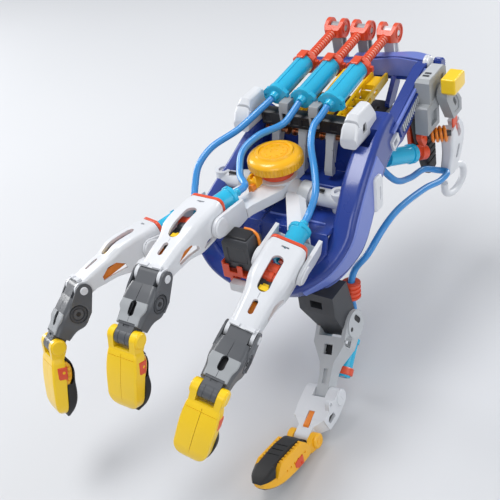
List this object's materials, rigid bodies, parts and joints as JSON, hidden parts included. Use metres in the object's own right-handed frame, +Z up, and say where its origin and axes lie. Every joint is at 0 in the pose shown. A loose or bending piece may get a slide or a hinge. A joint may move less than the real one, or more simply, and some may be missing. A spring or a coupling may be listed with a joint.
{
  "type": "wearable hydraulic mechanical hand",
  "caption": "Hand-worn mechanical hand: three jointed fingers and an opposed thumb, each pulled by a water cylinder fed through a hose from a cylinder worked by the wearer's finger.",
  "frame": {"origin": "centre of the flat underside of the hand plate, where it rests on the back of the wearer's hand", "axes": "+Z up out of the back of the hand, +Y towards the wearer's wrist, +X towards the thumb side"},
  "size_m": [0.18, 0.3241, 0.1971],
  "materials": {
    "black_plastic": "black moulded plastic",
    "black_rubber": "soft black rubber",
    "blue_hose": "flexible blue tubing",
    "blue_plastic": "navy blue moulded plastic",
    "cyan_clear": "translucent cyan plastic",
    "dark_grey_plastic": "dark grey moulded plastic",
    "grey_plastic": "grey moulded plastic",
    "light_grey_plastic": "light grey moulded plastic",
    "orange_metal": "orange coated spring steel",
    "red_plastic": "red-orange moulded plastic",
    "white_plastic": "satin white moulded plastic",
    "yellow_plastic": "glossy yellow moulded plastic"
  },
  "bodies": {
    "palm": {"crossbar": "black_plastic", "deck": "white_plastic", "end_cap_left": "white_plastic", "end_cap_right": "white_plastic", "frame_left": "blue_plastic", "frame_right": "blue_plastic", "grip_pad": "black_rubber", "hand_plate": "black_plastic", "hose1": "blue_hose", "hose2": "blue_hose", "hose3": "blue_hose", "hose4": "blue_hose", "knuckle_bracket1": "white_plastic", "knuckle_bracket2": "white_plastic", "knuckle_bracket3": "white_plastic", "lever_housing": "grey_plastic", "master_cylinder1": "cyan_clear", "master_cylinder2": "cyan_clear", "master_cylinder3": "cyan_clear", "rear_beam": "blue_plastic", "relay_box": "dark_grey_plastic", "relay_saddle": "red_plastic", "return_spring": "orange_metal", "side_cover": "white_plastic", "slave_cylinder1": "cyan_clear", "slave_cylinder2": "cyan_clear", "slave_cylinder3": "cyan_clear", "thumb_base": "dark_grey_plastic", "thumb_bracket": "white_plastic", "thumb_master_cylinder": "cyan_clear", "thumb_slave_cylinder": "cyan_clear"},
    "knob_body": {"knob": "yellow_plastic", "knob_stem": "red_plastic"},
    "plunger_body1": {"plunger1": "red_plastic"},
    "rocker_body1": {"rocker_link1": "grey_plastic"},
    "lever_body1": {"finger_lever1": "yellow_plastic"},
    "proximal_body1": {"finger1_proximal": "white_plastic"},
    "middle_body1": {"finger1_middle": "grey_plastic"},
    "tip_body1": {"finger1_tip": "yellow_plastic", "finger1_pad": "black_rubber"},
    "plunger_body2": {"plunger2": "red_plastic"},
    "rocker_body2": {"rocker_link2": "grey_plastic"},
    "lever_body2": {"finger_lever2": "yellow_plastic"},
    "proximal_body2": {"finger2_proximal": "white_plastic"},
    "middle_body2": {"finger2_middle": "grey_plastic"},
    "tip_body2": {"finger2_tip": "yellow_plastic", "finger2_pad": "black_rubber"},
    "plunger_body3": {"plunger3": "red_plastic"},
    "rocker_body3": {"rocker_link3": "white_plastic"},
    "lever_body3": {"finger_lever3": "yellow_plastic"},
    "proximal_body3": {"finger3_proximal": "white_plastic"},
    "middle_body3": {"finger3_middle": "grey_plastic"},
    "tip_body3": {"finger3_tip": "yellow_plastic", "finger3_pad": "black_rubber"},
    "thumb_lever_body": {"thumb_lever": "yellow_plastic"},
    "thumb_plunger_body": {"thumb_plunger": "red_plastic"},
    "metacarpal_body": {"thumb_metacarpal": "light_grey_plastic"},
    "phalanx_body": {"thumb_phalanx": "white_plastic"},
    "thumb_tip_body": {"thumb_tip": "yellow_plastic", "thumb_pad": "black_rubber"}
  },
  "joints": [
    {"name": "knob_turn", "type": "hinge", "parent": "palm", "child": "knob_body", "pos_m": [0, -0.0642, 0.017], "axis": [0, 0, 1], "range_deg": [-90, 90]},
    {"name": "finger1_mcp", "type": "hinge", "parent": "palm", "child": "proximal_body1", "pos_m": [-0.0587, -0.14458, -0.01258], "axis": [0.8755, -0.3925, 0.2818], "range_deg": [-12, 12]},
    {"name": "finger1_pip", "type": "hinge", "parent": "proximal_body1", "child": "middle_body1", "pos_m": [-0.07817, -0.19219, -0.01839], "axis": [0.8755, -0.3925, 0.2818], "range_deg": [-18, 30]},
    {"name": "finger1_dip", "type": "hinge", "parent": "middle_body1", "child": "tip_body1", "pos_m": [-0.083, -0.22144, -0.04414], "axis": [0.8755, -0.3925, 0.2818], "range_deg": [-14, 20]},
    {"name": "plunger1_slide", "type": "slide", "parent": "palm", "child": "plunger_body1", "axis": [0, -0.9961, -0.0886], "range_m": [-0.006, 0.006]},
    {"name": "rocker1_hinge", "type": "hinge", "parent": "palm", "child": "rocker_body1", "pos_m": [-0.0215, 0.07587, 0.01613], "axis": [1, 0, 0], "range_deg": [-11, 11]},
    {"name": "lever1_hinge", "type": "hinge", "parent": "palm", "child": "lever_body1", "pos_m": [-0.0215, -0.024, 0.0146], "axis": [1, 0, 0], "range_deg": [-6, 6]},
    {"name": "finger2_mcp", "type": "hinge", "parent": "palm", "child": "proximal_body2", "pos_m": [-0.0143, -0.13554, 0.00947], "axis": [1, 0, 0], "range_deg": [-12, 12]},
    {"name": "finger2_pip", "type": "hinge", "parent": "proximal_body2", "child": "middle_body2", "pos_m": [-0.0143, -0.18746, 0.00619], "axis": [1, 0, 0], "range_deg": [-18, 30]},
    {"name": "finger2_dip", "type": "hinge", "parent": "middle_body2", "child": "tip_body2", "pos_m": [-0.0143, -0.22058, -0.01492], "axis": [1, 0, 0], "range_deg": [-14, 20]},
    {"name": "plunger2_slide", "type": "slide", "parent": "palm", "child": "plunger_body2", "axis": [0, -0.9961, -0.0886], "range_m": [-0.006, 0.006]},
    {"name": "rocker2_hinge", "type": "hinge", "parent": "palm", "child": "rocker_body2", "pos_m": [0, 0.07587, 0.01613], "axis": [1, 0, 0], "range_deg": [-11, 11]},
    {"name": "lever2_hinge", "type": "hinge", "parent": "palm", "child": "lever_body2", "pos_m": [0, -0.024, 0.0146], "axis": [1, 0, 0], "range_deg": [-6, 6]},
    {"name": "finger3_mcp", "type": "hinge", "parent": "palm", "child": "proximal_body3", "pos_m": [0.03751, -0.12995, -0.01463], "axis": [0.9488, 0.0999, -0.2996], "range_deg": [-12, 12]},
    {"name": "finger3_pip", "type": "hinge", "parent": "proximal_body3", "child": "middle_body3", "pos_m": [0.039, -0.18147, -0.02709], "axis": [0.9488, 0.0999, -0.2996], "range_deg": [-18, 30]},
    {"name": "finger3_dip", "type": "hinge", "parent": "middle_body3", "child": "tip_body3", "pos_m": [0.03888, -0.21933, -0.04008], "axis": [0.9488, 0.0999, -0.2996], "range_deg": [-14, 20]},
    {"name": "plunger3_slide", "type": "slide", "parent": "palm", "child": "plunger_body3", "axis": [0, -0.9961, -0.0886], "range_m": [-0.006, 0.006]},
    {"name": "rocker3_hinge", "type": "hinge", "parent": "palm", "child": "rocker_body3", "pos_m": [0.0215, 0.07587, 0.01613], "axis": [1, 0, 0], "range_deg": [-11, 11]},
    {"name": "lever3_hinge", "type": "hinge", "parent": "palm", "child": "lever_body3", "pos_m": [0.0215, -0.024, 0.0146], "axis": [1, 0, 0], "range_deg": [-6, 6]},
    {"name": "thumb_root", "type": "hinge", "parent": "palm", "child": "metacarpal_body", "pos_m": [0.047, -0.0852, -0.095], "axis": [0.9854, 0, 0.1701], "range_deg": [-14, 3]},
    {"name": "thumb_mid", "type": "hinge", "parent": "metacarpal_body", "child": "phalanx_body", "pos_m": [0.0525, -0.1252, -0.1268], "axis": [0.9854, 0, 0.1701], "range_deg": [-17, 4]},
    {"name": "thumb_end", "type": "hinge", "parent": "phalanx_body", "child": "thumb_tip_body", "pos_m": [0.054, -0.1583, -0.1354], "axis": [0.9854, 0, 0.1701], "range_deg": [-17, 4]},
    {"name": "thumb_plunger_slide", "type": "slide", "parent": "palm", "child": "thumb_plunger_body", "axis": [0.2974, 0.8922, -0.3399], "range_m": [-0.0015, 0.0015]},
    {"name": "thumb_lever_hinge", "type": "hinge", "parent": "palm", "child": "thumb_lever_body", "pos_m": [0.075, 0.042, 0.023], "axis": [1, 0, 0], "range_deg": [-9, 3]}
  ],
  "couplings": [
    {"joint": "finger1_pip", "follows": "finger1_mcp", "ratio": 1.5},
    {"joint": "finger1_dip", "follows": "finger1_mcp", "ratio": 1.1},
    {"joint": "plunger1_slide", "follows": "finger1_mcp", "m_per_rad": 0.027693},
    {"joint": "rocker1_hinge", "follows": "finger1_mcp", "ratio": 0.8654},
    {"joint": "lever1_hinge", "follows": "finger1_mcp", "ratio": -0.2},
    {"joint": "finger2_pip", "follows": "finger2_mcp", "ratio": 1.5},
    {"joint": "finger2_dip", "follows": "finger2_mcp", "ratio": 1.1},
    {"joint": "plunger2_slide", "follows": "finger2_mcp", "m_per_rad": 0.027693},
    {"joint": "rocker2_hinge", "follows": "finger2_mcp", "ratio": 0.8654},
    {"joint": "lever2_hinge", "follows": "finger2_mcp", "ratio": -0.2},
    {"joint": "finger3_pip", "follows": "finger3_mcp", "ratio": 1.5},
    {"joint": "finger3_dip", "follows": "finger3_mcp", "ratio": 1.1},
    {"joint": "plunger3_slide", "follows": "finger3_mcp", "m_per_rad": 0.027693},
    {"joint": "rocker3_hinge", "follows": "finger3_mcp", "ratio": 0.8654},
    {"joint": "lever3_hinge", "follows": "finger3_mcp", "ratio": -0.2},
    {"joint": "thumb_mid", "follows": "thumb_root", "ratio": 1.2},
    {"joint": "thumb_end", "follows": "thumb_root", "ratio": 1.2},
    {"joint": "thumb_plunger_slide", "follows": "thumb_root", "m_per_rad": 0.006},
    {"joint": "thumb_lever_hinge", "follows": "thumb_root", "ratio": 0.6}
  ]
}
